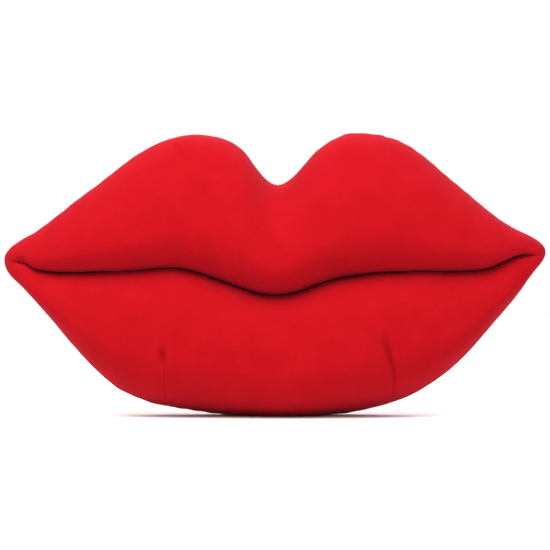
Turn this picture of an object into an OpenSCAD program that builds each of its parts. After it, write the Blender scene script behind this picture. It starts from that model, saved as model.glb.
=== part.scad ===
// A stuffed cushion in the shape of a pair of lips.
// It stands on its lower edge, facing -Y. X runs from corner to corner and Z is up.
// A sewn cover of four panels closes with a coil zip in the back seam, over a separate inner pad.

/* [Cushion] */
// Width from corner to corner
cushion_w = 600; // [560:10:660]
// Height from the resting face to the peaks
cushion_h = 311; // [290:1:340]
// How far the lips swell in front of the edge seam
front_crown = 84; // [76:1:96]
// How far the back swells behind the edge seam
back_crown = 56; // [52:1:66]
// How far the mouth seam stands in front of the edge seam
mouth_depth = 22; // [18:1:28]
// Where the upper lip is fullest, as a share of its height from the top
upper_full_at = 0.72; // [0.6:0.01:0.8]
// Where the lower lip is fullest, as a share of its height from the mouth
lower_full_at = 0.64; // [0.5:0.01:0.72]

/* [Fabric] */
// Thickness of the cover fabric
cover_t = 1.2; // [0.8:0.1:1.5]
// Thickness of the inner pad's casing
casing_t = 0.8; // [0.5:0.1:1]
// Width of the turned-in edges behind each seam
allowance = 5; // [4:0.5:6]
// Diameter of the sewing thread
thread_d = 0.6; // [0.4:0.1:0.8]

/* [Zip] */
// Length of the slot that the zip closes
slot_l = 344; // [320:2:350]
// Width of the slot between the folded edges
slot_w = 12; // [11.5:0.5:13]
// Spacing of the teeth along one row
tooth_pitch = 2; // [1.9:0.1:2.4]
// Length of the pull tab from its crossbar
pull_l = 28; // [20:1:30]

/* [Hidden] */
$fn = 48;

half_w = cushion_w / 2;
scale_x = half_w / 300; // the outlines below are drawn for a half width of 300
scale_z = cushion_h / 311; // and a height of 311
corner_z = 177 * scale_z; // height of the two corners

// Rise of the top edge above the corners: the dip of the bow, a peak, then a long slope.
TOP_EDGE = [[0, 79], [22, 92], [44, 117], [66, 130.5], [89, 134], [111, 132], [133, 125],
            [166, 105], [222, 63], [266, 39], [304, 27]];
// Fall of the bottom edge below the corners. It reaches under the floor where the cushion is pressed flat.
BOTTOM_EDGE = [[0, 181], [55, 178], [89, 172], [133, 160.5], [166, 147], [200, 124],
               [233, 90.5], [266, 58.5], [304, 27]];
// Height of the mouth line.
MOUTH = [[0, 134], [22, 136.5], [44, 143.5], [66, 150.5], [89, 157], [111, 159.5],
         [144, 159.7], [200, 158.7], [244, 163], [275, 171.5], [304, 177]];

tip = 1.004; // the rounding is centred just past the last section, so that section has a size
edge_gap = 2.5; // between the front and back panels, where the turned-in edges are sewn
mouth_gap = 0.6; // between the two lip panels along the mouth seam
facets = 48; // sections along the cushion
steps = 10; // steps round one panel

zip_z = 150 * scale_z; // height of the zip
zip_y = 38; // outer face of the zip tapes, behind the edge seam
tape_w = 14;
tape_t = 0.6;
tape_gap = 3; // between the two tapes, where the slider's post runs
tape_l = slot_l + 36;
seat_z = 17; // half height of the flat strip that the zip lies in
seat_x = tape_l / 2 + 15; // half length of the flat strip
seat_y = zip_y + cover_t + 0.05;

teeth_h = 2.2; // height of the rows above the tape
teeth_in = 0.9; // how far each tooth passes the centre line
teeth_out = 3.1; // outer edge of a row
teeth_start = -slot_l / 2 + 12;
slider_at = slot_l / 2 - 18; // centre of the slider, with the zip closed
teeth_end = slider_at - 2;
slider_l = 14;
slider_inside = [-1.25, 2.7]; // the slider's two inner faces, from the tape's outer face
wing_t = 1.2;
bar_y = slider_inside[1] + wing_t + 1; // height of the pull's crossbar
bar_r = 0.7;

pad_x = 0.93; // the inner pad's size, as a share of the cover's
pad_y = 0.95;
pad_z = 0.9;
pad_floor = allowance + 2.5;
pad_seat_y = zip_y - 4;
pad_rim = 0.4; // half the gap between the pad's two casings
pad_mouth_gap = 5;
filling_gap = 2; // between the filling and the casing
shoulder_gap = 4; // more clearance in the middle of the back, where the casing bends to the strip

// ---- curves ----

function smooth(t) = t <= 0 ? 0 : t >= 1 ? 1 : t * t * (3 - 2 * t);

// Slope of a smooth curve through points p at point i, level at the first point.
function slope(p, i) =
    i == 0 ? 0 :
    let (j = min(i + 1, len(p) - 1)) (p[j][1] - p[i - 1][1]) / (p[j][0] - p[i - 1][0]);

// Height at x of the smooth curve through points p.
function curve_at(p, x, i = 0) =
    i < len(p) - 2 && x > p[i + 1][0] ? curve_at(p, x, i + 1) :
    let (
        w = p[i + 1][0] - p[i][0],
        t = (x - p[i][0]) / w,
        h = t * t * (3 - 2 * t)
    )
    p[i][1] * (1 - h) + p[i + 1][1] * h
    + slope(p, i) * w * t * (1 - t) * (1 - t) - slope(p, i + 1) * w * t * t * (1 - t);

function share(x) = abs(x) / half_w / tip;
function rounding(x) = sqrt(1 - pow(share(x), 8)); // closes the outline at the corners
function swell(x) = pow(1 - pow(share(x), 2.4), 0.55); // share of the full depth

function top_z(x) = corner_z + scale_z * rounding(x) * curve_at(TOP_EDGE, abs(x) / scale_x);
function low_z(x) = corner_z - scale_z * rounding(x) * curve_at(BOTTOM_EDGE, abs(x) / scale_x);
function bottom_z(x) = max(low_z(x), 0);
function mouth_z(x) = scale_z * curve_at(MOUTH, abs(x) / scale_x);
function mouth_y(x) = mouth_depth * swell(x);
// The back seam is level along the zip, then rises to the corners.
function back_seam_z(x) =
    let (t = max(0, abs(x) - seat_x) / (half_w - seat_x)) zip_z + (corner_z - zip_z) * pow(t, 1.6);

// Sections, closer together towards the corners.
SECTIONS = [for (i = [0 : facets]) let (s = 2 * i / facets - 1) half_w * (0.3 * s + 0.7 * sin(90 * s))];

// ---- profiles: [distance from the edge seam's plane, height], at angle a round the section ----
// d is how far inside the outer face a point lies.

// From the top edge, at 0, over the fullest part to the mouth, at 180.
function upper_lip(x, a, d = 0, gap = mouth_gap, held_at = undef) =
    let (
        inner = is_undef(held_at) ? mouth_y(x) : held_at,
        top = top_z(x),
        h = top - mouth_z(x) - gap / 2,
        c = upper_full_at,
        full = front_crown * swell(x)
    )
    a <= 90
        ? [full * pow(sin(a), 1.1) - d * sin(a), top - h * c * (1 - cos(a)) - d * cos(a)]
        : [inner + (full - inner) * sin(a) - d * sin(a), top - h * (c - (1 - c) * cos(a)) - d * cos(a)];

// From the mouth, at 0, to the bottom edge, at 180.
function lower_lip(x, a, d = 0, gap = mouth_gap, held_at = undef) =
    let (
        inner = is_undef(held_at) ? mouth_y(x) : held_at,
        top = mouth_z(x) - gap / 2,
        h = top - low_z(x),
        c = lower_full_at,
        full = 0.94 * front_crown * swell(x)
    )
    a <= 90
        ? [inner + (full - inner) * sin(a) - d * sin(a), top - h * c * (1 - cos(a)) - d * cos(a)]
        : [full * pow(sin(a), 1.1) - d * sin(a), top - h * (c - (1 - c) * cos(a)) - d * cos(a)];

// The back at height z of section x. The zip's tape doesn't stretch, so it holds a flat strip.
// at is the place in the cushion, which differs from x and z on the pad.
function back_y(x, z, at, seat) =
    let (
        middle = (top_z(x) + low_z(x)) / 2,
        r = min(1, abs(z - middle) / (top_z(x) - middle)),
        held = (1 - smooth((abs(at[1] - back_seam_z(at[0])) - seat_z) / 34))
             * (1 - smooth((abs(at[0]) - seat_x) / 50))
    )
    back_crown * swell(x) * pow(1 - pow(r, 2.4), 0.55) * (1 - held) + seat * held;

// A point of the back panel at height z, moved d inside.
function back(x, z, d = 0) =
    let (
        middle = (top_z(x) + low_z(x)) / 2,
        a = acos(max(-1, min(1, (z - middle) / (top_z(x) - middle))))
    )
    [back_y(x, z, [x, z], seat_y) - d * sin(a), z - d * cos(a)];

function slot_half(x) = max(0.15, slot_w / 2 * (1 - smooth((abs(x) - slot_l / 2) / 14)));

// Heights of the rows of points on a back panel, from its edge to the slot.
function back_rows(x, edge) =
    let (
        seam = back_seam_z(x),
        side = sign(edge - seam),
        strip = seam + side * min(seat_z, 0.3 * abs(edge - seam))
    )
    [
        for (k = [0 : steps - 1]) edge + (strip - edge) * (1 - cos(90 * k / (steps - 1))),
        seam + side * min(slot_half(x), 0.15 * abs(edge - seam))
    ];

BACK_REACH = max([
    for (x = SECTIONS, edge = [top_z(x), low_z(x)], z = back_rows(x, edge)) back_y(x, z, [x, z], seat_y)
]);
seam_y = (front_crown - BACK_REACH) / 2; // puts the origin at mid depth

function in_front(x, p, low = 0) = [x, seam_y - edge_gap / 2 - p[0], max(p[1], low)];
function behind(x, p, low = 0) = [x, seam_y + edge_gap / 2 + p[0], max(p[1], low)];

// A point of the pad: the same profile drawn in towards the mouth line, d inside its outer face.
function in_pad(x, y, z, d = 0) =
    [
        x * pad_x,
        seam_y + y,
        max(pad_floor + d, mouth_z(x * pad_x) + (z - mouth_z(x)) * pad_z)
    ];
function pad_mouth_y(x, d) = max(mouth_y(x) - allowance - 3, -0.3 * back_crown * swell(x)) - d;
function pad_upper(x, a, d) =
    let (p = upper_lip(x, a, d, pad_mouth_gap, pad_mouth_y(x, d)))
    in_pad(x, -pad_rim - p[0] * pad_y, p[1], d);
function pad_lower(x, a, d) =
    let (p = lower_lip(x, a, d, pad_mouth_gap, pad_mouth_y(x, d)))
    in_pad(x, -pad_rim - p[0] * pad_y, p[1], d);
function pad_back(x, a, d) =
    let (
        middle = (top_z(x) + low_z(x)) / 2,
        z = middle + (top_z(x) - middle) * cos(a),
        at = in_pad(x, 0, z),
        y = back_y(x, z, [at[0], at[2]], pad_seat_y)
    )
    in_pad(x, pad_rim + y * pad_y - d * sin(a), z - d * cos(a), d);

// ---- solids from sections ----

// Joins closed loops of points, each at one x, into a solid.
module loft(loops) {
    m = len(loops[0]);
    n = len(loops);
    // an end, closed by triangles that run to and fro between its two sides
    cap = [
        for (j = [0 : floor(m / 2) - 1]) each [
            if (j + 1 < m - 1 - j) [j, j + 1, m - 1 - j],
            if (j + 1 < m - 2 - j) [j + 1, m - 2 - j, m - 1 - j],
        ]
    ];
    polyhedron(
        points = [for (loop = loops, p = loop) p],
        faces = [
            each cap,
            for (i = [0 : n - 2], j = [0 : m - 1], k = [0, 1])
                let (a = i * m + j, b = i * m + (j + 1) % m)
                k == 0 ? [a, a + m, b] : [b, a + m, b + m],
            for (f = cap) [for (j = reversed(f)) (n - 1) * m + j],
        ],
        convexity = 8
    );
}

// The sections that the inner pad is drawn from: it stops short of the corners.
PAD_SECTIONS = [for (x = SECTIONS) if (abs(x) < 0.985 * half_w) x];

function reversed(list) = [for (i = [len(list) - 1 : -1 : 0]) list[i]];

// A loop's outer face from rows, then its inner face back again.
function skin(outer, inner) = concat(outer, reversed(inner));

// A round thread along a path that stays square to direction up.
module strand(path, closed = false) {
    n = len(path);
    sides = 6;
    function ahead(i) = closed ? path[(i + 1) % n] : path[min(i + 1, n - 1)];
    function past(i) = closed ? path[(i + n - 1) % n] : path[max(i - 1, 0)];
    rings = [
        for (i = [0 : n - 1])
            let (
                t = (ahead(i) - past(i)) / norm(ahead(i) - past(i)),
                u = cross(t, [0, 1, 0]) / norm(cross(t, [0, 1, 0])),
                v = cross(t, u)
            )
            for (k = [0 : sides - 1])
                path[i] + thread_d / 2 * (cos(360 * k / sides) * u + sin(360 * k / sides) * v)
    ];
    last = closed ? n - 1 : n - 2;
    polyhedron(
        points = rings,
        faces = [
            if (!closed) [for (k = [0 : sides - 1]) k],
            for (i = [0 : last], k = [0 : sides - 1], h = [0, 1])
                let (
                    a = i * sides + k,
                    b = i * sides + (k + 1) % sides,
                    c = (i + 1) % n * sides + k,
                    e = (i + 1) % n * sides + (k + 1) % sides
                )
                h == 0 ? [a, c, b] : [b, c, e],
            if (!closed) [for (k = [sides - 1 : -1 : 0]) (n - 1) * sides + k]
        ],
        convexity = 8
    );
}

// ---- the cover ----

function turns(n) = [for (k = [0 : n]) 180 * k / n];

module upper_lip_panel() {
    color("crimson")
    loft([
        for (x = SECTIONS)
            skin(
                [for (a = turns(steps)) in_front(x, upper_lip(x, a))],
                [for (a = turns(steps)) in_front(x, upper_lip(x, a, cover_t))]
            )
    ]);
}

module lower_lip_panel() {
    color("crimson")
    loft([
        for (x = SECTIONS)
            skin(
                [for (a = turns(steps)) in_front(x, lower_lip(x, a))],
                [for (a = turns(steps)) in_front(x, lower_lip(x, a, cover_t), cover_t)]
            )
    ]);
}

module upper_back_panel() {
    color("firebrick")
    loft([
        for (x = SECTIONS)
            let (rows = back_rows(x, top_z(x)))
            skin(
                [for (z = rows) behind(x, back(x, z, cover_t))],
                [for (z = rows) behind(x, back(x, z))]
            )
    ]);
}

module lower_back_panel() {
    color("firebrick")
    loft([
        for (x = SECTIONS)
            let (rows = back_rows(x, low_z(x)))
            skin(
                [for (z = rows) behind(x, back(x, z))],
                [for (z = rows) behind(x, back(x, z, cover_t), cover_t)]
            )
    ]);
}

// The outline of the edge seam, moved in by distance d square to itself.
OUTLINE = concat(
    [for (x = SECTIONS) [x, top_z(x)]],
    [for (x = reversed(SECTIONS)) [x, bottom_z(x)]]
);
function outline_in(d) =
    let (n = len(OUTLINE))
    [
        for (i = [0 : n - 1])
            let (t = OUTLINE[(i + 1) % n] - OUTLINE[(i + n - 1) % n])
            OUTLINE[i] + d * [t[1], -t[0]] / norm(t)
    ];

module edge_seam_allowance() {
    color("darkred")
    translate([0, seam_y + edge_gap / 2 - 0.05, 0])
    rotate([90, 0, 0])
    linear_extrude(edge_gap - 0.1)
    difference() {
        polygon(outline_in(1));
        polygon(outline_in(1 + allowance));
    }
}

// The sections that lie clear of the corners, for what is sewn inside.
INNER_SECTIONS = [for (x = SECTIONS) if (abs(x) < 0.93 * half_w) x];

module mouth_seam_allowance() {
    color("darkred")
    loft([
        for (x = INNER_SECTIONS)
            let (y = seam_y - edge_gap / 2 - mouth_y(x) + 0.1)
            [
                for (c = [[0, 1], [0, -1], [1, -1], [1, 1]])
                    [x, y + c[0] * allowance, mouth_z(x) + c[1] * cover_t]
            ]
    ]);
}

module edge_seam_thread() {
    color("red")
    strand(
        [for (p = outline_in(1 + 2 * thread_d + 0.6)) [p[0], seam_y - edge_gap / 2 - thread_d / 2, p[1]]],
        closed = true
    );
}

module mouth_seam_thread() {
    color("red")
    strand([
        for (x = INNER_SECTIONS)
            [x, seam_y - edge_gap / 2 - mouth_y(x) + 2, mouth_z(x) + cover_t + thread_d / 2 + 0.05]
    ]);
}

// Darts that give the lips their fullness: [x, from angle, to angle] on each lip.
UPPER_DART = [100, 20, 62];
LOWER_DART = [114, 122, 168];

module dart_threads() {
    deep = cover_t + thread_d / 2 + 2.4; // the seam allowance of the dart keeps it off the panel
    color("red")
    for (side = [-1, 1]) {
        strand([
            for (k = [0 : 6])
                let (
                    x = side * UPPER_DART[0] * scale_x,
                    a = UPPER_DART[1] + (UPPER_DART[2] - UPPER_DART[1]) * k / 6
                )
                in_front(x, upper_lip(x, a, deep))
        ]);
        strand([
            for (k = [0 : 6])
                let (
                    x = side * LOWER_DART[0] * scale_x,
                    a = LOWER_DART[1] + (LOWER_DART[2] - LOWER_DART[1]) * k / 6
                )
                in_front(x, lower_lip(x, a, deep))
        ]);
    }
}

// A folded strip sewn into the back seam past the zip's end, hanging over the lower panel.
module care_label() {
    label_w = 22;
    label_l = 38;
    lift = 0.6;
    thick = 0.5;
    middle = -(seat_x + 22) * scale_x;
    rows = [for (k = [0 : 5]) k / 5];
    color("white")
    loft([
        for (i = [0 : 4])
            let (x = middle + label_w * (i / 4 - 0.5), top = back_seam_z(x) - 1)
            [
                for (t = rows) behind(x, back(x, top - label_l * t)) + [0, lift + thick, 0],
                for (t = reversed(rows)) behind(x, back(x, top - label_l * t)) + [0, lift, 0]
            ]
    ]);
}

// ---- the zip, drawn about its own centre: Y is out of the back ----

module at_zip(x = 0) {
    translate([x, seam_y + edge_gap / 2 + zip_y, zip_z]) children();
}

// A flat plate from a polygon of [x, z], between two distances from the tape's outer face.
module plate(from, to) {
    translate([0, to, 0]) rotate([90, 0, 0]) linear_extrude(to - from) children();
}

module zip_tape() {
    translate([-tape_l / 2, -tape_t, tape_gap / 2]) cube([tape_l, tape_t, tape_w]);
}

module zip_tape_upper() {
    color("red") at_zip() zip_tape();
}

module zip_tape_lower() {
    color("red") at_zip() mirror([0, 0, 1]) zip_tape();
}

// A row of teeth that start at x = first and stand on a backbone.
module zip_teeth(first) {
    tooth_w = 0.4 * tooth_pitch;
    root = 1.2;
    starts = [for (x = [first : tooth_pitch : teeth_end - tooth_w]) x];
    plate(0.05, teeth_h)
    polygon([
        [teeth_start, teeth_out],
        [teeth_start, root],
        for (x = starts)
            each [[x, root], [x + 0.1, -teeth_in], [x + tooth_w - 0.1, -teeth_in], [x + tooth_w, root]],
        [teeth_end, root],
        [teeth_end, teeth_out]
    ]);
}

module zip_teeth_upper() {
    color("red") at_zip() zip_teeth(teeth_start + 0.2);
}

module zip_teeth_lower() {
    color("red") at_zip() mirror([0, 0, 1]) zip_teeth(teeth_start + 0.2 + tooth_pitch / 2);
}

// A clip folded round the inner edge of each tape.
module zip_top_stops() {
    stop_l = 3.2;
    color("silver")
    at_zip(teeth_end + 0.4)
    for (side = [0, 1])
        mirror([0, 0, side])
        difference() {
            translate([0, -tape_t - 0.35, tape_gap / 2 - 0.35]) cube([stop_l, tape_t + 2.1, 2.1]);
            translate([-1, -tape_t - 0.02, tape_gap / 2 - 0.02]) cube([stop_l + 2, tape_t + 0.04, 4]);
        }
}

// One clip across both rows.
module zip_bottom_stop() {
    color("silver")
    at_zip(teeth_start - 3.6)
    difference() {
        translate([0, -tape_t - 0.4, -teeth_out]) cube([3.4, tape_t + 2.8, 2 * teeth_out]);
        for (side = [0, 1])
            mirror([0, 0, side])
            translate([-1, -tape_t - 0.02, tape_gap / 2 - 0.02]) cube([6, tape_t + 0.04, 4]);
    }
}

module zip_stitching() {
    stitch = 2.6;
    pitch = 4;
    row_z = 9.5; // each row's distance from the middle of the zip
    stitch_y = seam_y + edge_gap / 2 + seat_y + thread_d / 2 + 0.02;
    count = floor(slot_l / pitch / 2);
    color("red")
    for (side = [-1, 1], i = [-count : count])
        translate([i * pitch - stitch / 2, stitch_y, zip_z + side * row_z])
        rotate([0, 90, 0])
        cylinder(d = thread_d, h = stitch, $fn = 16);
}

// The slider's outline: wide at the throat, where the rows part, and narrow behind.
function wing(inset = 0) =
    let (
        front = slider_l / 2,
        side = [[-front, 4.4], [0.5, 4.5], [4, 5.3], [5.8, 5.2], [front, 4]]
    )
    concat(
        [for (p = side) [p[0], p[1] - inset]],
        [for (p = reversed(side)) [p[0], inset - p[1]]]
    );

module zip_slider() {
    inner = slider_inside[0];
    outer = slider_inside[1];
    wall = 0.9;
    bridge_w = 2;
    bridge_l = 8.4;
    bridge_leg = 1.3;
    bridge_bar = 1;
    bridge_y = outer + wing_t; // face that the bridge stands on
    bridge_gap = 2.1;
    color("silver")
    at_zip(slider_at) {
        plate(inner - wing_t, inner) polygon(wing(0.3));
        plate(outer, outer + wing_t) polygon(wing());
        // side walls that hold the rows together
        plate(0.8, outer)
        difference() {
            polygon(wing());
            polygon([for (p = wing(wall)) [p[0] * 1.2, p[1]]]);
        }
        // the post that parts the rows, in two halves that stop short of them
        for (half = [[inner, inner + 0.5], [outer - 0.4, outer]])
            plate(half[0], half[1]) polygon([[2.4, 0], [4.2, 1.1], [6.4, 0.8], [6.4, -0.8], [4.2, -1.1]]);
        // the bridge that holds the pull
        for (end = [-1, 1])
            translate([end * (bridge_l - bridge_leg) / 2 - bridge_leg / 2, bridge_y, -bridge_w / 2])
            cube([bridge_leg, bridge_gap + bridge_bar / 2, bridge_w]);
        translate([-bridge_l / 2 + bridge_bar / 2, bridge_y + bridge_gap, -bridge_w / 2])
        cube([bridge_l - bridge_bar, bridge_bar, bridge_w]);
        for (end = [-1, 1])
            translate([
                end * (bridge_l - bridge_bar) / 2, bridge_y + bridge_gap + bridge_bar / 2, -bridge_w / 2
            ])
            cylinder(d = bridge_bar, h = bridge_w);
    }
}

// The pull swings on a crossbar under the slider's bridge. It lies back along the closed teeth.
module zip_pull() {
    arm_in = 1.35;
    arm_out = 2.7;
    neck = 6;
    tab_t = 1.4;
    tab_w = 7;
    color("silver")
    at_zip(slider_at)
    translate([0, bar_y, 0]) {
        translate([0, 0, -arm_out]) cylinder(r = bar_r, h = 2 * arm_out);
        for (side = [0, 1])
            mirror([0, 0, side])
            translate([-neck - 1, -tab_t / 2, arm_in])
            cube([neck + 1, tab_t, arm_out - arm_in]);
        difference() {
            union() {
                translate([-pull_l + tab_w / 2, -tab_t / 2, -tab_w / 2])
                cube([pull_l - neck - tab_w / 2, tab_t, tab_w]);
                translate([-pull_l + tab_w / 2, tab_t / 2, 0])
                rotate([90, 0, 0])
                cylinder(d = tab_w, h = tab_t);
            }
            translate([-pull_l + tab_w / 2, tab_t, 0]) rotate([90, 0, 0]) cylinder(d = 3, h = 2 * tab_t);
        }
        // raised grip bars
        for (i = [0 : 4])
            translate([-neck - 2.6 - 2 * i, tab_t / 2, -tab_w / 2 + 1])
            cube([0.9, 0.35, tab_w - 2]);
    }
}

// ---- the inner pad ----

module pad_casing_front() {
    function face(x, d) =
        concat([for (a = turns(8)) pad_upper(x, a, d)], [for (a = turns(8)) pad_lower(x, a, d)]);
    color("white")
    loft([for (x = PAD_SECTIONS) skin(face(x, 0), face(x, casing_t))]);
}

module pad_casing_back() {
    color("white")
    loft([
        for (x = PAD_SECTIONS)
            skin([for (a = turns(14)) pad_back(x, a, casing_t)], [for (a = turns(14)) pad_back(x, a, 0)])
    ]);
}

// The pad's own edge, for its seam and its thread.
function pad_edge(x, top) = top ? pad_upper(x, 0, 0) : pad_lower(x, 180, 0);

module pad_seam_thread() {
    edge = concat(
        [for (x = PAD_SECTIONS) pad_edge(x, true)],
        [for (x = reversed(PAD_SECTIONS)) pad_edge(x, false)]
    );
    n = len(edge);
    color("white")
    strand([
        for (i = [0 : n - 1])
            let (t = edge[(i + 1) % n] - edge[(i + n - 1) % n])
            [edge[i][0], seam_y, edge[i][2]] + 0.6 * [-t[2], 0, t[0]] / norm(t)
    ], closed = true);
}

module fibre_filling() {
    d = casing_t + filling_gap;
    color("ivory")
    loft([
        for (x = PAD_SECTIONS) if (abs(x) < 0.97 * half_w)
            concat(
                [for (a = turns(8)) pad_upper(x, a, d)],
                [for (a = turns(8)) pad_lower(x, a, d)],
                reversed([for (a = turns(14)) pad_back(x, a, d) - [0, shoulder_gap * sin(a), 0]])
            )
    ]);
}

upper_lip_panel();
lower_lip_panel();
upper_back_panel();
lower_back_panel();
edge_seam_allowance();
mouth_seam_allowance();
edge_seam_thread();
mouth_seam_thread();
dart_threads();
zip_tape_upper();
zip_tape_lower();
zip_teeth_upper();
zip_teeth_lower();
zip_top_stops();
zip_bottom_stop();
zip_stitching();
zip_slider();
zip_pull();
care_label();
pad_casing_front();
pad_casing_back();
pad_seam_thread();
fibre_filling();
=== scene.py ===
"""A red plush cushion in the shape of a pair of lips, with a zip in its back.

Lengths are in metres, apart from the outlines and sections, which are worked out in millimetres. X runs
from corner to corner of the mouth, -Y is the front and Z is up. A panel is a grid: one way along X, the
other way round the section from seam to seam. Its small shapes, such as puckers and darts, are pushes
along its own outward direction.
"""

import math

import bmesh
import bpy
import numpy as np
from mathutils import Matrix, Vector


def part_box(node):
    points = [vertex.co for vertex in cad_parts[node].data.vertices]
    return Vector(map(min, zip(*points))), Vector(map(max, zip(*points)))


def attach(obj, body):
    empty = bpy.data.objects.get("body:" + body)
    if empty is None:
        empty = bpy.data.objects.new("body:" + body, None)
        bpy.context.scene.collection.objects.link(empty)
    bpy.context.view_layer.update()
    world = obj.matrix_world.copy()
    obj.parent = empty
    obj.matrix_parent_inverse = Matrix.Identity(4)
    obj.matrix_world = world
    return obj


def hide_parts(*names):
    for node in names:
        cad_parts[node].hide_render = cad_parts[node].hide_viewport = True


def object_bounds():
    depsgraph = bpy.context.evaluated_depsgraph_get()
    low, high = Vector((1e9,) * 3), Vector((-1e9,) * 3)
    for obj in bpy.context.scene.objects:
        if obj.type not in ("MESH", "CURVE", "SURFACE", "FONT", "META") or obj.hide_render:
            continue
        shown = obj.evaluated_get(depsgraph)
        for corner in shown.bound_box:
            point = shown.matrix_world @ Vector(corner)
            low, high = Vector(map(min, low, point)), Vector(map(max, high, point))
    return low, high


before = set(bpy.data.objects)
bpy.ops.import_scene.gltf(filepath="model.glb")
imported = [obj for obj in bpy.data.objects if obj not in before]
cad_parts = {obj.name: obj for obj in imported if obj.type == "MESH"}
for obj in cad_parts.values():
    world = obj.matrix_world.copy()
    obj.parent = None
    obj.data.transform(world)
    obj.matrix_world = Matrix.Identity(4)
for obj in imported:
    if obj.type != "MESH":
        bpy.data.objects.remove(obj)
cad_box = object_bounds()
mm = 0.001

# ---------------------------------------------------------------------------
# Sizes in millimetres: most come from the frame
# ---------------------------------------------------------------------------

seam_low, seam_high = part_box("edge_seam_allowance")
SEAM_Y = (seam_low.y + seam_high.y) / 2 / mm  # the plane of the edge seam
tape_low, tape_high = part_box("zip_tape_upper")
TAPE_OUT = tape_high.y / mm - SEAM_Y  # how far the zip tapes' outer face is behind that plane
TAPE_T = (tape_high.y - tape_low.y) / mm
TAPE_END = tape_high.x / mm
TAPE_W = (tape_high.z - tape_low.z) / mm
ZIP_Z = (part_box("zip_tape_lower")[0].z + tape_high.z) / 2 / mm
TAPE_GAP = 2 * (tape_low.z / mm - ZIP_Z)
TEETH_FROM, TEETH_TO = (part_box("zip_teeth_upper")[i].x / mm for i in (0, 1))
FRONT = SEAM_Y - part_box("upper_lip_panel")[0].y / mm  # how far the front swells from the seam plane
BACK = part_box("lower_back_panel")[1].y / mm - SEAM_Y  # and how far the back does
HALF_W = (cad_box[1][0] - cad_box[0][0]) / 2 / mm
COVER_T = 1.2  # the cover's cloth with its pile
TIP_ROOM = 1.5  # how near the corners the cloth still has its thickness
ALLOWANCE_T = 0.7  # the same cloth where it is pressed flat inside a seam
ALLOWANCE = 5  # the width of the turned-in edges
THREAD_R = 0.3
STITCH = 3  # the length of a seam's stitch
SLOT_END = TAPE_END - 18  # where the folded edges come together past the zip
SLOT_HALF = 6  # half the opening between them
SEAT_END = TAPE_END + 15  # where the fabric round the zip leaves its straight line

# ---------------------------------------------------------------------------
# Outlines, in millimetres: x, then height above the floor
# ---------------------------------------------------------------------------

LEFT_TIP, RIGHT_TIP = 172, 181
TOP_EDGE = [(-300, 203), (-283, 206.5), (-266, 211), (-244, 224.5), (-222, 239.5), (-200, 254.5),
            (-177, 271.5), (-155, 288), (-138, 297.5), (-122, 304.5), (-105, 309.5), (-89, 311.5), (-72, 310),
            (-56, 306), (-44, 300), (-33, 291), (-22, 276), (-11, 262.5), (-3, 256.5), (3, 255), (11, 257.5),
            (22, 266.5), (33, 279), (44, 291), (56, 300.5), (67, 307), (80, 312), (95, 312.5), (108, 311.5),
            (120, 310), (133, 306), (148, 299), (166, 286.5), (188, 268.5), (211, 250.5), (233, 233),
            (255, 218.5), (272, 211.5), (285, 209), (300, 206)]
LOW_EDGE = [(-300, 131), (-280, 125), (-266, 114.5), (-244, 94), (-222, 71), (-200, 48.5), (-188, 38.5),
            (-172, 27), (-155, 19.5), (-133, 12), (-111, 7), (-89, 3.5), (-66, 0), (-40, -3), (0, -5),
            (33, -4), (56, -2), (75, 0), (95, 3.5), (111, 7.5), (130, 13.5), (148, 20), (166, 29.5),
            (188, 44), (211, 63), (233, 85), (255, 106), (272, 122.5), (285, 138), (300, 150)]
MOUTH = [(-300, 172), (-285, 170), (-275, 167), (-263, 160.8), (-245, 158.3), (-200, 158.3), (-170, 158.6),
         (-139, 160.8), (-116, 162.6), (-98, 161.4), (-83, 157.5), (-61, 149.7), (-39, 142), (-25, 137),
         (-8, 133.6), (8, 133.8), (25, 137), (50, 145), (72, 151.7), (94, 155.3), (120, 157.8), (150, 158.6),
         (200, 158.6), (222, 160.2), (238, 163.5), (250, 169), (261, 174), (273, 177.2), (286, 177.3),
         (300, 180)]

# A dart is a pinched line: x, height, depth, half width. It starts at the seam and ends in a dimple.
DARTS_UPPER = [
    [(-110, 309, 0.3, 2.5), (-108.5, 300, 0.6, 3), (-107, 293, 2.4, 3.2), (-105, 286.5, 2.4, 3.6),
     (-104, 280, 0, 5)],
    [(123.5, 309, 1.0, 1.8), (123, 300, 1.4, 1.3), (122.5, 293, 1.3, 1.3), (122, 286, 0.6, 2),
     (122, 280, 0, 3)],
]
DARTS_LOWER = [
    [(-120, 8, 0.5, 1.3), (-118.5, 24, 1.0, 1.2), (-119, 42, 1.1, 1.3), (-117.5, 54, 2.2, 2.0),
     (-120, 62, 6.0, 3.6), (-121, 70, 6.0, 4.0), (-121, 76, 1.8, 4), (-121, 82, 0, 4)],
    [(127, 14, 0.3, 1.4), (128, 25, 0.9, 1.2), (129, 40, 1.9, 1.5), (128, 50, 4.6, 2.6),
     (125.5, 60, 6.6, 3.4), (122.5, 72, 6.2, 3.7), (119.5, 83, 4.0, 3.8), (117.5, 93, 1.2, 4), (117, 99, 0, 4)],
]
# Soft folds at the ends of the mouth, in the same form.
CORNERS = [
    [(-266, 165, 1.0, 3.0), (-280, 170, 6.5, 5.0), (-287, 168, 5.0, 4.2), (-294, 162, 0, 4)],
    [(262, 174.5, 1.0, 2.2), (273, 177.2, 4.5, 2.8), (285, 177, 5.0, 2.4), (294, 175.5, 0, 2)],
    [(281, 180, 2.0, 2.5), (282, 187, 5.5, 3.0), (284, 194, 0, 3)],
]


def smooth(t):
    """0 below 0, 1 above 1, and 3t^2 - 2t^3 between."""
    t = np.clip(t, 0, 1)
    return t * t * (3 - 2 * t)


def bump(t):
    """A smooth hump: exp(-t^2)."""
    return np.exp(-t * t)


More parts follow.
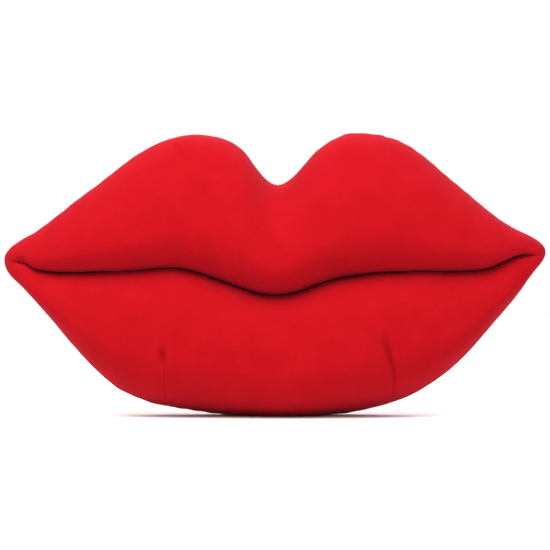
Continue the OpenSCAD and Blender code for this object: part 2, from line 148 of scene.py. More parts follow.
def spline(points, x):
    """Height at x of a smooth curve through points: cubic Hermite pieces. The slope at a point is the mean
    of the slopes on its two sides, weighted towards the shorter one."""
    p = np.array(points, float)
    slope = np.gradient(p[:, 1], p[:, 0])
    i = np.clip(np.searchsorted(p[:, 0], x) - 1, 0, len(p) - 2)
    w = p[i + 1, 0] - p[i, 0]
    t = (x - p[i, 0]) / w
    return (p[i, 1] * (2 * t**3 - 3 * t**2 + 1) + p[i + 1, 1] * (3 * t**2 - 2 * t**3)
            + slope[i] * w * (t**3 - 2 * t**2 + t) + slope[i + 1] * w * (t**3 - t**2))


def share(x):
    """Distance from the middle as a share of the half width."""
    return np.clip(np.abs(x) / HALF_W, 0, 1)


def rounding(x):
    """Closes the outline at the corners: the square root of 1 - s^8."""
    return np.sqrt(1 - share(x) ** 8)


def swell(x):
    """Share of the full depth at x: (1 - s^2.4)^0.55."""
    return (1 - share(x) ** 2.4) ** 0.55


def tip_z(x):
    """The corners' height, eased from the left one to the right one."""
    return LEFT_TIP + (RIGHT_TIP - LEFT_TIP) * smooth((x / HALF_W + 1) / 2)


def top_z(x):
    """The upper edge's height."""
    return tip_z(x) + rounding(x) * (spline(TOP_EDGE, x) - tip_z(x))


def low_z(x):
    """The lower edge's height, below 0 where the floor will press it flat."""
    return tip_z(x) + rounding(x) * (spline(LOW_EDGE, x) - tip_z(x))


def mouth_z(x):
    """The mouth line, kept between the two edges near the corners."""
    top, low = top_z(x), low_z(x)
    return np.clip(spline(MOUTH, x), low + 0.3 * (top - low), low + 0.7 * (top - low))


def belly(x):
    """1 along the bottom of the lower lip, where the back's edge stands out below it, and 0 past its ends."""
    return smooth((138 - np.abs(x + 2)) / 50)


def back_seam_z(x):
    """The seam between the back panels: level along the zip, then rising to the corners."""
    t = np.clip((np.abs(x) - SEAT_END) / (HALF_W - SEAT_END), 0, 1)
    return ZIP_Z + (tip_z(x) - ZIP_Z) * t**1.6


# ---------------------------------------------------------------------------
# Grids
# ---------------------------------------------------------------------------


def stations(n, fine=()):
    """n places along X from corner to corner, closer together towards the corners and near each x in fine.

    An even spacing t from -1 to 1 gives x = W (0.3 t + 0.7 sin(90 t)), and t is then spread so that its
    spacing is inverse to a density: 1, plus 5 exp(-((x - c) / 9)^2) for each c in fine, plus a rise at the
    ends.
    """
    t = np.linspace(-1, 1, 8001)
    x = HALF_W * (0.3 * t + 0.7 * np.sin(math.pi / 2 * t))
    density = 1 + 5 * smooth((np.abs(t) - 0.95) / 0.05) + sum(5 * bump((x - c) / 9) for c in fine)
    filled = np.concatenate([[0], np.cumsum((density[1:] + density[:-1]) / 2)])
    return np.interp(np.linspace(0, filled[-1], n), filled, x)


def turns(n, crowding=0.6):
    """n angles from 0 to 180, closer together at both ends: 180 (t - crowding sin(2 pi t) / (2 pi))."""
    t = np.linspace(0, 1, n)
    return 180 * (t - crowding * np.sin(2 * math.pi * t) / (2 * math.pi))


def grid_faces(rows, columns, round_rows=False, round_columns=False):
    """Quads between neighbouring points of a grid, joined round on itself either way."""
    i, j = np.meshgrid(np.arange(rows if round_rows else rows - 1),
                       np.arange(columns if round_columns else columns - 1), indexing="ij")
    i2, j2 = (i + 1) % rows, (j + 1) % columns
    corners = [i * columns + j, i * columns + j2, i2 * columns + j2, i2 * columns + j]
    return np.stack(corners, -1).reshape(-1, 4)


def outward(points, flip=False):
    """Unit directions square to a grid: the cross product of its slopes along the rows and down the
    columns."""
    n = np.cross(np.gradient(points, axis=1), np.gradient(points, axis=0))
    n = n / np.maximum(np.linalg.norm(n, axis=-1, keepdims=True), 1e-9)
    return -n if flip else n


def along(points):
    """Distance along each row of a grid from its first column."""
    step = np.linalg.norm(np.diff(points, axis=1), axis=-1)
    return np.concatenate([np.zeros((len(points), 1)), np.cumsum(step, axis=1)], axis=1)


def settled(points):
    """Presses what would be below the floor flat: z becomes half of z + sqrt(z^2 + k^2), with k = 1 mm."""
    z = points[..., 2]
    points[..., 2] = np.where(z < 40, (z + np.sqrt(z * z + 1)) / 2, z)
    return points


def capped(points):
    """Closes both ends of a panel with a fan of faces to a point that all four panels share."""
    for end in (0, -1):
        x = points[end, 0, 0]
        points[end] = x, SEAM_Y, tip_z(x)
    return points


def make_piece(name, points, faces, material, closed_ends=False, seam=None):
    """A smooth mesh object from points in millimetres and faces, with its place in its mesh. seam is a share
    from 0 to 1 at each point, for the material's painted shade along the seams: 1 where the fabric turns in
    at a seam."""
    mesh = bpy.data.meshes.new(name)
    places = np.asarray(points, float).reshape(-1, 3) * mm
    mesh.from_pydata(places.tolist(), [], np.asarray(faces).tolist())
    mesh.materials.append(material)
    if seam is not None:
        shade = mesh.attributes.new("seam", "FLOAT", "POINT")
        shade.data.foreach_set("value", np.ravel(seam).astype(np.float32))
    if closed_ends:
        work = bmesh.new()
        work.from_mesh(mesh)
        bmesh.ops.remove_doubles(work, verts=work.verts, dist=1e-6)
        work.to_mesh(mesh)
        work.free()
    mesh.polygons.foreach_set("use_smooth", [True] * len(mesh.polygons))
    mesh.update()
    piece = bpy.data.objects.new(name, mesh)
    bpy.context.scene.collection.objects.link(piece)
    return piece


def thicken(piece, thickness):
    """Gives a sheet its thickness behind its outer face, in millimetres, and next to none in the last
    1.5 mm of a tip, where there is no room for it."""
    wall = piece.modifiers.new("fabric", "SOLIDIFY")
    wall.thickness = thickness * mm
    wall.offset = -1
    places = np.empty(3 * len(piece.data.vertices))
    piece.data.vertices.foreach_get("co", places)
    roomy = np.flatnonzero(np.abs(places[::3]) < (HALF_W - TIP_ROOM) * mm)
    piece.vertex_groups.new(name="roomy").add(roomy.tolist(), 1, "REPLACE")
    wall.vertex_group = "roomy"
    wall.thickness_vertex_group = 0.03
    return piece


def carry(path, profile, across, up, closed=False):
    """A profile carried along a path: point + p across + q up for each (p, q) of the profile. Ends are
    closed by drawing the last rings in to the path."""
    p = np.asarray(profile, float)
    rings = path[:, None] + p[None, :, :1] * across[:, None] + p[None, :, 1:] * up[:, None]
    if not closed:
        first, last = np.repeat(path[:1, None], len(p), 1), np.repeat(path[-1:, None], len(p), 1)
        rings = np.concatenate([first, rings, last])
    return rings, grid_faces(len(rings), len(p), closed, True)


def circle(radius, sides):
    """Points round a circle, as a profile."""
    a = 2 * math.pi * np.arange(sides) / sides
    return radius * np.stack([np.cos(a), np.sin(a)], -1)


def strand(path, radius, sides=6, closed=False):
    """A round thread along a path. Across is square to the path and to Y, or to Z where the path runs along
    Y, and up is square to both."""
    if closed:
        ahead = np.roll(path, -1, 0) - np.roll(path, 1, 0)
    else:
        ahead = np.gradient(path, axis=0)
    ahead = ahead / np.linalg.norm(ahead, axis=-1, keepdims=True)
    hint = np.where(np.abs(ahead[:, 1:2]) > 0.95, np.array([[0.0, 0, 1]]), np.array([[0.0, 1, 0]]))
    across = np.cross(ahead, hint)
    across = across / np.linalg.norm(across, axis=-1, keepdims=True)
    return carry(path, circle(radius, sides), across, np.cross(ahead, across), closed)


def joined(parts):
    """Several (points, faces) as one."""
    points, faces, start = [], [], 0
    for p, f in parts:
        p = np.asarray(p).reshape(-1, 3)
        points.append(p)
        faces.append(f + start)
        start += len(p)
    return np.concatenate(points), np.concatenate(faces)


def lumps(x, z, size, seed):
    """Gentle unevenness between -1 and 1: the mean of four slanting sine waves about size millimetres
    long."""
    total = 0
    for k in range(4):
        a = seed * 1.7 + k * 1.9
        w = 2 * math.pi / (size * (0.8 + 0.17 * k))
        total = total + np.sin(w * (x * math.cos(a) + z * math.sin(a)) + seed * 3.1 + k * 2.3)
    return total / 4


def puckers(run, pitch, seed):
    """Uneven ripples along a seam: a sine wave of the distance run, whose pitch and height wander."""
    wander = 2.2 * np.sin(run / (pitch * 2.7) + seed) + 1.4 * np.sin(run / (pitch * 6.1) + 2 * seed)
    height = 0.55 + 0.45 * np.sin(run / (pitch * 4.3) + 1.3 * seed)
    return height * np.sin(2 * math.pi * run / pitch + wander)


def pinch(x, z, line):
    """How deep a dart presses the fabric at x, z: depth exp(-(d / w)^2), where d is the distance from the
    nearest place on the line, and the depth and half width w are the line's own there. A shallow trough five
    times as wide and a quarter as deep goes with it."""
    best = np.zeros(np.broadcast(x, z).shape)
    for a, b in zip(line[:-1], line[1:]):
        ax, az, bx, bz = a[0], a[1], b[0], b[1]
        t = np.clip(((x - ax) * (bx - ax) + (z - az) * (bz - az)) / ((bx - ax) ** 2 + (bz - az) ** 2), 0, 1)
        d = np.hypot(x - ax - t * (bx - ax), z - az - t * (bz - az))
        depth, w = a[2] + (b[2] - a[2]) * t, a[3] + (b[3] - a[3]) * t
        best = np.maximum(best, depth * (bump(d / w) + 0.25 * bump(d / (5 * w))))
    return best


# ---------------------------------------------------------------------------
# Sections: y is how far in front of (or behind) the edge seam, in millimetres
# ---------------------------------------------------------------------------

MOUTH_IN = 35  # how far the mouth seam stands in front of the edge seam
UPPER_FULL, LOWER_FULL = 0.73, 0.62  # where each lip is fullest, as a share of its height
BELLY_ROLL = 1.8  # how much of the back's edge shows below the lower lip


def full_depth(x):
    """How far the front stands out at x, where it is fullest."""
    return FRONT * swell(x)


def mouth_depth(x):
    """The mouth seam is drawn in along the lips, and comes up to the surface at the corners."""
    fade = smooth((np.abs(x) - 257) / 35)
    return MOUTH_IN * swell(x) * (1 - fade) + 0.97 * full_depth(x) * fade


def upper_section(x, a, tuck=0):
    """The upper lip at x, at angle a from the edge seam (0) over the fullest part (90) to the mouth (180).

    Above the fullest part, y is the full depth times sin(a)^1.05 and the height falls with 1 - cos(a). Below
    it nearly a quarter ellipse turns in to the mouth seam, which tuck draws further in. A shallow groove
    runs down from the dip of the bow.
    """
    top, mouth = top_z(x), mouth_z(x)
    h, inner = top - mouth, mouth_depth(x) - tuck
    full = full_depth(x) * (1 - 0.04 * smooth(1 - share(x)) - 0.06 * bump(x / 30) * smooth(1.3 - a / 90))
    s, c = np.maximum(np.sin(np.radians(a)), 0), np.cos(np.radians(a))
    y = np.where(a <= 90, full * s**1.05, inner + (full - inner) * s**0.95)
    z = np.where(a <= 90, top - h * UPPER_FULL * (1 - c), top - h * (UPPER_FULL - (1 - UPPER_FULL) * c))
    return y, z


def lower_section(x, a, tuck=0):
    """The lower lip at x, at angle a from the mouth (0) over the fullest part (90) to the edge seam (180),
    with formulas like the upper lip's. Along the belly its edge rises, to show the back's edge."""
    mouth, low = mouth_z(x), low_z(x) + BELLY_ROLL * belly(x)
    h, inner = mouth - low, mouth_depth(x) - tuck
    full = full_depth(x) * (1 + 0.02 * smooth(1 - share(x)))
    s, c = np.maximum(np.sin(np.radians(a)), 0), np.cos(np.radians(a))
    y = np.where(a <= 90, inner + (full - inner) * s**0.8, full * s**1.05)
    z = np.where(a <= 90, mouth - h * LOWER_FULL * (1 - c), mouth - h * (LOWER_FULL - (1 - LOWER_FULL) * c))
    return y, z


def back_depth(x, z):
    """How far the back stands behind the seam plane at x, z: the full depth times (1 - r^2.4)^0.55, where r
    is the distance from mid height as a share of the half height. The zip's tape doesn't stretch, so it holds
    a flat strip, and past it the seam lies in a valley 5 mm deep."""
    middle = (top_z(x) + low_z(x)) / 2
    r = np.clip(np.abs(z - middle) / (top_z(x) - middle), 0, 1)
    off = np.abs(z - back_seam_z(x))
    held = (1 - smooth((off - 9) / 42)) * (1 - smooth((np.abs(x) - SEAT_END) / 55))
    seam = 5 * bump(off / 9) * smooth((np.abs(x) - SEAT_END) / 30) * swell(x)
    return BACK * swell(x) * (1 - r**2.4) ** 0.55 * (1 - held) + (TAPE_OUT + COVER_T + 0.1) * held - seam


def slot_half(x):
    """Half the opening between the folded edges along the zip, closing past its ends."""
    return SLOT_HALF * (1 - smooth((np.abs(x) - SLOT_END) / 14))


# ---------------------------------------------------------------------------
# Materials
# ---------------------------------------------------------------------------


def material(name, roughness, specular):
    """A material, its shader, and two shorthands: add a node, and join two sockets."""
    m = bpy.data.materials.new(name)
    m.use_nodes = True
    tree = m.node_tree
    shader = tree.nodes["Principled BSDF"]
    shader.inputs["Roughness"].default_value = roughness
    shader.inputs["Specular IOR Level"].default_value = specular

    def node(kind, **values):
        n = tree.nodes.new(kind)
        for key, value in values.items():
            if key in n.inputs:
                n.inputs[key].default_value = value
            else:
                setattr(n, key, value)
        return n

    return m, shader, node, tree.links.new


def shades(node, link, factor, low, high, dark, light):
    """A colour ramp from dark to light between two values of a factor."""
    ramp = node("ShaderNodeValToRGB")
    ramp.color_ramp.elements[0].position, ramp.color_ramp.elements[1].position = low, high
    ramp.color_ramp.elements[0].color, ramp.color_ramp.elements[1].color = (*dark, 1), (*light, 1)
    link(factor, ramp.inputs["Fac"])
    return ramp.outputs["Color"]


def plush(name, dark, light):
    """A short, soft pile: fine fibres for the bump, and patches where the pile lies another way for the
    colour. Painted shade makes it darker and a little bluer where the seam attribute rises to 1, in the
    valley along each seam."""
    m, shader, node, link = material(name, 0.9, 0.02)
    place = node("ShaderNodeTexCoord").outputs["Object"]
    lay = node("ShaderNodeTexNoise", Scale=34.0, Detail=3.0, Roughness=0.55)
    fibre = node("ShaderNodeTexNoise", Scale=1500.0, Detail=2.0, Roughness=0.7)
    nap = node("ShaderNodeTexNoise", Scale=260.0, Detail=3.0, Roughness=0.6)
    for n in (lay, fibre, nap):
        link(place, n.inputs["Vector"])
    mixed = node("ShaderNodeMix", data_type="FLOAT")
    mixed.inputs[0].default_value = 0.35
    link(lay.outputs["Fac"], mixed.inputs[2])
    link(nap.outputs["Fac"], mixed.inputs[3])
    seam = node("ShaderNodeAttribute", attribute_name="seam")
    # painted shade: the pile's colour is multiplied darker where the seam attribute rises, along the seams
    painted_seam_shade = node("ShaderNodeMix", data_type="RGBA", blend_type="MULTIPLY")
    link(seam.outputs["Fac"], painted_seam_shade.inputs[0])
    link(shades(node, link, mixed.outputs[0], 0.3, 0.7, dark, light), painted_seam_shade.inputs[6])
    painted_seam_shade.inputs[7].default_value = (0.72, 0.72, 0.85, 1)
    link(painted_seam_shade.outputs[2], shader.inputs["Base Color"])
    pile = node("ShaderNodeMath", operation="MULTIPLY_ADD")
    link(fibre.outputs["Fac"], pile.inputs[0])
    pile.inputs[1].default_value = 0.5
    link(nap.outputs["Fac"], pile.inputs[2])
    relief = node("ShaderNodeBump", Strength=0.35, Distance=0.0005)
    link(pile.outputs[0], relief.inputs["Height"])
    link(relief.outputs["Normal"], shader.inputs["Normal"])
    shader.inputs["Sheen Weight"].default_value = 0.03
    shader.inputs["Sheen Roughness"].default_value = 0.6
    shader.inputs["Sheen Tint"].default_value = (1.0, 0.4, 0.75, 1)
    return m


def woven(name, dark, light, pitch, axes=("X", "Z")):
    """A plain weave: two sets of ridges pitch millimetres apart, one along each axis, with uneven yarns."""
    m, shader, node, link = material(name, 0.85, 0.08)
    place = node("ShaderNodeTexCoord").outputs["Object"]
    ridges = []
    for axis in axes:
        wave = node("ShaderNodeTexWave", wave_type="BANDS", bands_direction=axis, wave_profile="SIN",
                    Scale=math.pi / 10 / (pitch * mm), Distortion=0.35, Detail=1.0)
        wave.inputs["Detail Scale"].default_value = 2.0
        link(place, wave.inputs["Vector"])
        ridges.append(wave.outputs["Fac"])
    both = node("ShaderNodeMath", operation="MAXIMUM")
    link(ridges[0], both.inputs[0])
    link(ridges[1], both.inputs[1])
    yarn = node("ShaderNodeTexNoise", Scale=300.0, Detail=3.0)
    link(place, yarn.inputs["Vector"])
    tone = node("ShaderNodeMath", operation="MULTIPLY")
    link(both.outputs[0], tone.inputs[0])
    link(yarn.outputs["Fac"], tone.inputs[1])
    link(shades(node, link, tone.outputs[0], 0.15, 0.6, dark, light), shader.inputs["Base Color"])
    relief = node("ShaderNodeBump", Strength=0.5, Distance=0.0002)
    link(both.outputs[0], relief.inputs["Height"])
    link(relief.outputs["Normal"], shader.inputs["Normal"])
    shader.inputs["Sheen Weight"].default_value = 0.03
    return m


def spun(name, dark, light):
    """Sewing thread: a fine twist across the strand."""
    m, shader, node, link = material(name, 0.6, 0.35)
    place = node("ShaderNodeTexCoord").outputs["Object"]
    twist = node("ShaderNodeTexWave", wave_type="BANDS", bands_direction="DIAGONAL", Scale=700.0,
                 Distortion=0.5)
    link(place, twist.inputs["Vector"])
    link(shades(node, link, twist.outputs["Fac"], 0.2, 0.8, dark, light), shader.inputs["Base Color"])
    relief = node("ShaderNodeBump", Strength=0.4, Distance=0.0001)
    link(twist.outputs["Fac"], relief.inputs["Height"])
    link(relief.outputs["Normal"], shader.inputs["Normal"])
    return m


def lacquer(name, dark, light):
    """Painted zip metal or nylon: a smooth coloured coat with a slight unevenness in its gloss."""
    m, shader, node, link = material(name, 0.38, 0.3)
    place = node("ShaderNodeTexCoord").outputs["Object"]
    cloud = node("ShaderNodeTexNoise", Scale=420.0, Detail=4.0)
    link(place, cloud.inputs["Vector"])
    link(shades(node, link, cloud.outputs["Fac"], 0.3, 0.75, dark, light), shader.inputs["Base Color"])
    gloss = node("ShaderNodeMapRange")
    gloss.inputs["To Min"].default_value, gloss.inputs["To Max"].default_value = 0.24, 0.42
    link(cloud.outputs["Fac"], gloss.inputs["Value"])
    link(gloss.outputs["Result"], shader.inputs["Roughness"])
    relief = node("ShaderNodeBump", Strength=0.12, Distance=0.0001)
    link(cloud.outputs["Fac"], relief.inputs["Height"])
    link(relief.outputs["Normal"], shader.inputs["Normal"])
    shader.inputs["Coat Weight"].default_value = 0.15
    shader.inputs["Coat Roughness"].default_value = 0.15
    return m


def fluff(name, dark, light):
    """Loose fibre: tangled, soft and matt."""
    m, shader, node, link = material(name, 0.95, 0.05)
    place = node("ShaderNodeTexCoord").outputs["Object"]
    tangle = node("ShaderNodeTexNoise", Scale=160.0, Detail=8.0, Roughness=0.75, Distortion=1.5)
    link(place, tangle.inputs["Vector"])
    link(shades(node, link, tangle.outputs["Fac"], 0.3, 0.7, dark, light), shader.inputs["Base Color"])
    relief = node("ShaderNodeBump", Strength=0.8, Distance=0.002)
    link(tangle.outputs["Fac"], relief.inputs["Height"])
    link(relief.outputs["Normal"], shader.inputs["Normal"])
    shader.inputs["Sheen Weight"].default_value = 0.2
    return m


red_plush = plush("red plush", (0.310, 0.0024, 0.0048), (0.355, 0.0036, 0.0072))
red_thread = spun("red thread", (0.30, 0.0030, 0.0060), (0.44, 0.0060, 0.0110))
white_thread = spun("white thread", (0.40, 0.39, 0.37), (0.52, 0.51, 0.49))
zip_web = woven("zip tape", (0.17, 0.0020, 0.0050), (0.32, 0.0040, 0.0080), 0.5)
cotton = woven("casing cloth", (0.38, 0.37, 0.34), (0.50, 0.49, 0.46), 0.6)
satin = woven("label cloth", (0.38, 0.37, 0.35), (0.50, 0.49, 0.47), 0.3)
red_nylon = lacquer("zip nylon", (0.22, 0.0024, 0.0056), (0.32, 0.0040, 0.0080))
red_enamel = lacquer("zip enamel", (0.24, 0.0024, 0.0056), (0.31, 0.0040, 0.0080))
fibre = fluff("polyester fibre", (0.42, 0.42, 0.40), (0.54, 0.54, 0.52))


def place_piece(piece, slot, *nodes):
    """Rides on the cushion and stands for CAD nodes, which it hides. slot is not used."""
    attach(piece, "cushion")
    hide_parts(*nodes)
    return piece


# ---------------------------------------------------------------------------
# The front: two lips
# ---------------------------------------------------------------------------

N_ALONG, N_ROUND = 380, 120
TIP_SHARE = 0.999  # the panels stop this close to the tips, where there is still room for their wall
SEAM_SHADE = 6  # how far from the edge seam the pile has painted shade, in millimetres
FURROW = 1.9  # how deep the edge seam is drawn in
RIPPLE_REACH = 13  # how far from the edge seam its ripples die away
FULL_PUSH_ROUND = 60  # the length of section from which a panel has its small shapes in full
FILLED_FROM = 26  # how far from the edge seam the filling's unevenness starts


def in_front(x, y, z):
    """Points y in front of the seam plane."""
    return np.stack([x + 0 * y, SEAM_Y - y, z + 0 * y], -1)


def behind(x, y, z):
    """Points y behind the seam plane."""
    return np.stack([x + 0 * y, SEAM_Y + y, z + 0 * y], -1)


def outline_run(x, z):
    """Distance along an edge from the left corner, for the ripples."""
    step = np.hypot(np.diff(x, axis=0), np.diff(z, axis=0))
    return np.concatenate([np.zeros((1, 1)), np.cumsum(step, axis=0)])


def lip_push(x, z, from_edge, from_mouth, run, darts, seed):
    """What the sewing does to a lip: a furrow at the edge seam, ripples that die away from both seams, soft
    unevenness over the filling, and the darts."""
    ripples = puckers(run, 19, seed) * np.exp(-from_edge / RIPPLE_REACH) * (1 - bump(from_edge / 3))
    uneven = 1.1 * lumps(x, z, 120, seed) + 0.45 * lumps(x, z, 47, seed + 3)
    push = -FURROW * bump(from_edge / 2.3) + 0.28 * ripples
    push = push + 0.35 * puckers(x * 1.05, 27, seed + 2) * np.exp(-from_mouth / 15)
    push = push + (1 - bump(from_edge / FILLED_FROM)) * uneven
    push = push - 0.9 * bump((from_edge - 9) / 8) * smooth(0.5 + 0.5 * lumps(x, z, 70, seed + 5))
    for line in darts:
        push = push - pinch(x, z, line)
    return push * (1 - bump(from_mouth / 4))


def lip(name, section, edge_first, darts, seed):
    """A lip's panel: its section at every station, pushed by lip_push, with the folds at the mouth's ends,
    pressed flat at the floor and thickened. The push fades where the section is short."""
    x = TIP_SHARE * stations(N_ALONG, [d[len(d) // 2][0] for d in darts])[:, None]
    a = turns(N_ROUND)[None]
    base = in_front(x, *section(x, a))
    run_from_start = along(base)
    run_to_end = run_from_start[:, -1:] - run_from_start
    from_edge, from_mouth = (run_from_start, run_to_end) if edge_first else (run_to_end, run_from_start)
    edge = base[:, :1, 2] if edge_first else base[:, -1:, 2]
    run = outline_run(x, edge)
    push = lip_push(base[..., 0], base[..., 2], from_edge, from_mouth, run, darts, seed)
    size = np.minimum(1, run_from_start[:, -1:] / FULL_PUSH_ROUND) ** 2
    points = base + outward(base) * (push * size)[..., None]
    points[..., 1] += sum(pinch(base[..., 0], base[..., 2], line) for line in CORNERS) * size
    points = capped(settled(points))
    faces = grid_faces(N_ALONG, N_ROUND)
    # the last argument is the painted shade along the edge seam, strongest at the seam
    return thicken(make_piece(name, points, faces, red_plush, True, bump(from_edge / SEAM_SHADE)), COVER_T)


upper_lip = place_piece(
    lip("upper_lip", upper_section, True, DARTS_UPPER, 1), "cover_fabric", "upper_lip_panel")
lower_lip = place_piece(
    lip("lower_lip", lower_section, False, DARTS_LOWER, 4), "cover_fabric", "lower_lip_panel")

# ---------------------------------------------------------------------------
# The back: two panels that fold in along the zip
# ---------------------------------------------------------------------------


BACK_ROUND = 110
FOLD_R = 1.4


def back_panel(name, upper, seed):
    """A back panel from its edge (first column) to the zip or the middle seam (last column).

    The height moves from the edge to the seam with 1 - cos over a quarter turn, and the depth is back_depth.
    The last columns roll over the fold: they turn in by a quarter circle. Along the zip, the cloth ripples
    beside the fold and sinks at the row of stitches.
    """
    x = TIP_SHARE * stations(N_ALONG)[:, None]
    t = np.linspace(0, 1, BACK_ROUND)[None]
    edge = top_z(x) if upper else low_z(x)
    side = 1 if upper else -1
    near = back_seam_z(x) + side * np.minimum(slot_half(x) + 0.05, 0.3 * np.abs(edge - back_seam_z(x)))
    way = 1 - np.cos(math.pi / 2 * (0.12 * t + 0.88 * t**1.35))
    z = edge + (near - edge) * way
    base = behind(x, back_depth(x, z), z)
    from_edge = along(base)
    from_fold = from_edge[:, -1:] - from_edge
    roll = FOLD_R * np.minimum(1, from_edge[:, -1:] / 30)
    fold = np.clip(1 - from_fold / np.maximum(roll, 1e-6), 0, 1)
    along_zip = smooth((SLOT_END + 20 - np.abs(x)) / 30)
    beside_fold = bump((from_fold - 15) / 11) * smooth((from_fold - 5) / 8)
    ripples = puckers(outline_run(x, edge), 21, seed) * np.exp(-from_edge / RIPPLE_REACH)
    uneven = 1.2 * lumps(x, z, 120, seed) + 0.5 * lumps(x, z, 47, seed + 3)
    push = -(FURROW + (0 if upper else BELLY_ROLL) * belly(x)) * bump(from_edge / 2.5)
    push = push + 0.5 * ripples * (1 - bump(from_edge / 3))
    push = push + 0.6 * along_zip * puckers(x, 24, seed + 1) * beside_fold
    push = push - 0.45 * along_zip * bump((from_fold - 3.6) / 0.8)
    push = push + (1 - bump(from_edge / FILLED_FROM)) * (1 - bump(from_fold / 22)) * uneven
    push = push - roll * (1 - np.sqrt(np.clip(1 - fold * fold, 0, 1)))
    size = np.minimum(1, from_edge[:, -1:] / FULL_PUSH_ROUND) ** 2
    points = capped(settled(base + outward(base, flip=upper) * (push * size)[..., None]))
    faces = grid_faces(N_ALONG, BACK_ROUND)
    if upper:
        faces = faces[:, ::-1]
    # the last argument is the painted shade along the edge seam, strongest at the seam
    return thicken(make_piece(name, points, faces, red_plush, True, bump(from_edge / SEAM_SHADE)), COVER_T)


upper_back = place_piece(back_panel("upper_back", True, 6), "cover_fabric", "upper_back_panel")
lower_back = place_piece(back_panel("lower_back", False, 8), "cover_fabric", "lower_back_panel")

# ---------------------------------------------------------------------------
# Seams: turned-in edges and threads
# ---------------------------------------------------------------------------


def ring_of(n, inset):
    """A closed path round the edge seam, inset towards the middle of the outline: x, height."""
    x = stations(n)
    k = 1 - inset / HALF_W
    top = mouth_z(x) + (top_z(x) - mouth_z(x)) * (1 - inset / 150)
    low = mouth_z(x) + (low_z(x) - mouth_z(x)) * (1 - inset / 150)
    return np.concatenate([x, x[-2:0:-1]]) * k, np.concatenate([top, low[-2:0:-1]])


SEAM_INSET = 2.2  # how far inside the outline the turned-in edges start


def edge_allowance():
    """The turned-in edges: two layers of cloth that stand in from the edge seam, each a wavy strip."""
    across = 6
    outer_x, outer_z = ring_of(260, SEAM_INSET)
    inner_x, inner_z = ring_of(260, SEAM_INSET + ALLOWANCE)
    run = np.arange(len(outer_x))[:, None]
    t = np.linspace(0, 1, across)[None]
    x = outer_x[:, None] + (inner_x - outer_x)[:, None] * t
    z = np.maximum(outer_z[:, None] + (inner_z - outer_z)[:, None] * t, 3)
    parts = []
    for side in (-1, 1):
        y = side * (0.75 + 0.5 * t * (1 + np.sin(run * 0.9 + side)))
        parts.append((behind(x, y, z), grid_faces(len(run), across, True)))
    piece = thicken(make_piece("edge_allowance", *joined(parts), red_plush), ALLOWANCE_T)
    return place_piece(piece, "cover_fabric", "edge_seam_allowance")


def mouth_allowance():
    """The lips' turned-in edges: two layers that stand in behind the mouth seam."""
    across = 6
    x = np.linspace(-258, 258, 200)[:, None]
    t = np.linspace(0, 1, across)[None]
    parts = []
    for side in (-1, 1):
        y = mouth_depth(x) - 2.0 - ALLOWANCE * t
        z = mouth_z(x) + side * (0.7 + 0.5 * t) + 0.4 * t * np.sin(x / 7 + side)
        parts.append((in_front(x, y, z), grid_faces(len(x), across)))
    piece = thicken(make_piece("mouth_allowance", *joined(parts), red_plush), ALLOWANCE_T)
    return place_piece(piece, "cover_fabric", "mouth_seam_allowance")


def stitches(path, face):
    """A row of lockstitches along a path: the thread rises by 1.1 times its radius along face in the middle
    of each stitch."""
    step = np.linalg.norm(np.diff(path, axis=0), axis=1)
    run = np.concatenate([[0], np.cumsum(step)])
    n = int(run[-1] / STITCH)
    s = np.linspace(0, run[-1], n * 6 + 1)
    points = np.stack([np.interp(s, run, path[:, k]) for k in range(3)], -1)
    rise = np.abs(np.sin(math.pi * s / (run[-1] / n))) * THREAD_R * 1.1
    return points + rise[:, None] * np.asarray(face, float)


def stitched_ring(path, face):
    """Lockstitches round a closed path."""
    return strand(stitches(np.concatenate([path, path[:1]]), face)[:-1], THREAD_R, closed=True)


def edge_thread():
    """The edge seam's thread, a millimetre inside the turned-in edges."""
    x, z = ring_of(400, SEAM_INSET + 1)
    path = np.stack([x, SEAM_Y + 0 * x, np.maximum(z, 2.6)], -1)
    piece = make_piece("edge_thread", *stitched_ring(path, (0, 0, 1)), red_thread)
    return place_piece(piece, "red_thread", "edge_seam_thread")


def mouth_thread():
    """The mouth seam's thread, 1.4 mm behind the line where the lips meet."""
    x = np.linspace(-262, 262, 300)
    path = np.stack([x, SEAM_Y - mouth_depth(x) + 1.4, mouth_z(x)], -1)
    row = strand(stitches(path, (0, 0, 1)), THREAD_R)
    piece = make_piece("mouth_thread", *row, red_thread, closed_ends=True)
    return place_piece(piece, "red_thread", "mouth_seam_thread")


def dart_thread():
    """The darts' own stitching, just inside the pinched lines. Each place on a line is found on its lip's
    section at the angle whose height is nearest."""
    parts, n = [], 60
    a = np.linspace(0, 180, 721)[None]
    for lines, section in ((DARTS_UPPER, upper_section), (DARTS_LOWER, lower_section)):
        for line in lines:
            start, end = line[0][1] + (12 if section is lower_section else -12), line[3][1]
            z = np.linspace(start, end, n)
            x = np.interp(z, *np.array(sorted((p[1], p[0]) for p in line)).T)
            y_all, z_all = section(x[:, None], a)
            y = y_all[np.arange(n), np.abs(z_all - z[:, None]).argmin(1)]
            inside = pinch(x, z, line) + COVER_T + 2 * THREAD_R
            parts.append(strand(np.stack([x, SEAM_Y - y + inside, z], -1), THREAD_R))
    piece = make_piece("dart_thread", *joined(parts), red_thread, closed_ends=True)
    return place_piece(piece, "red_thread", "dart_threads")


edge_allowance()
mouth_allowance()
edge_thread()
mouth_thread()
dart_thread()

# ---------------------------------------------------------------------------
# The zip
# ---------------------------------------------------------------------------

TAPE_Y = SEAM_Y + TAPE_OUT  # the tapes' outer face


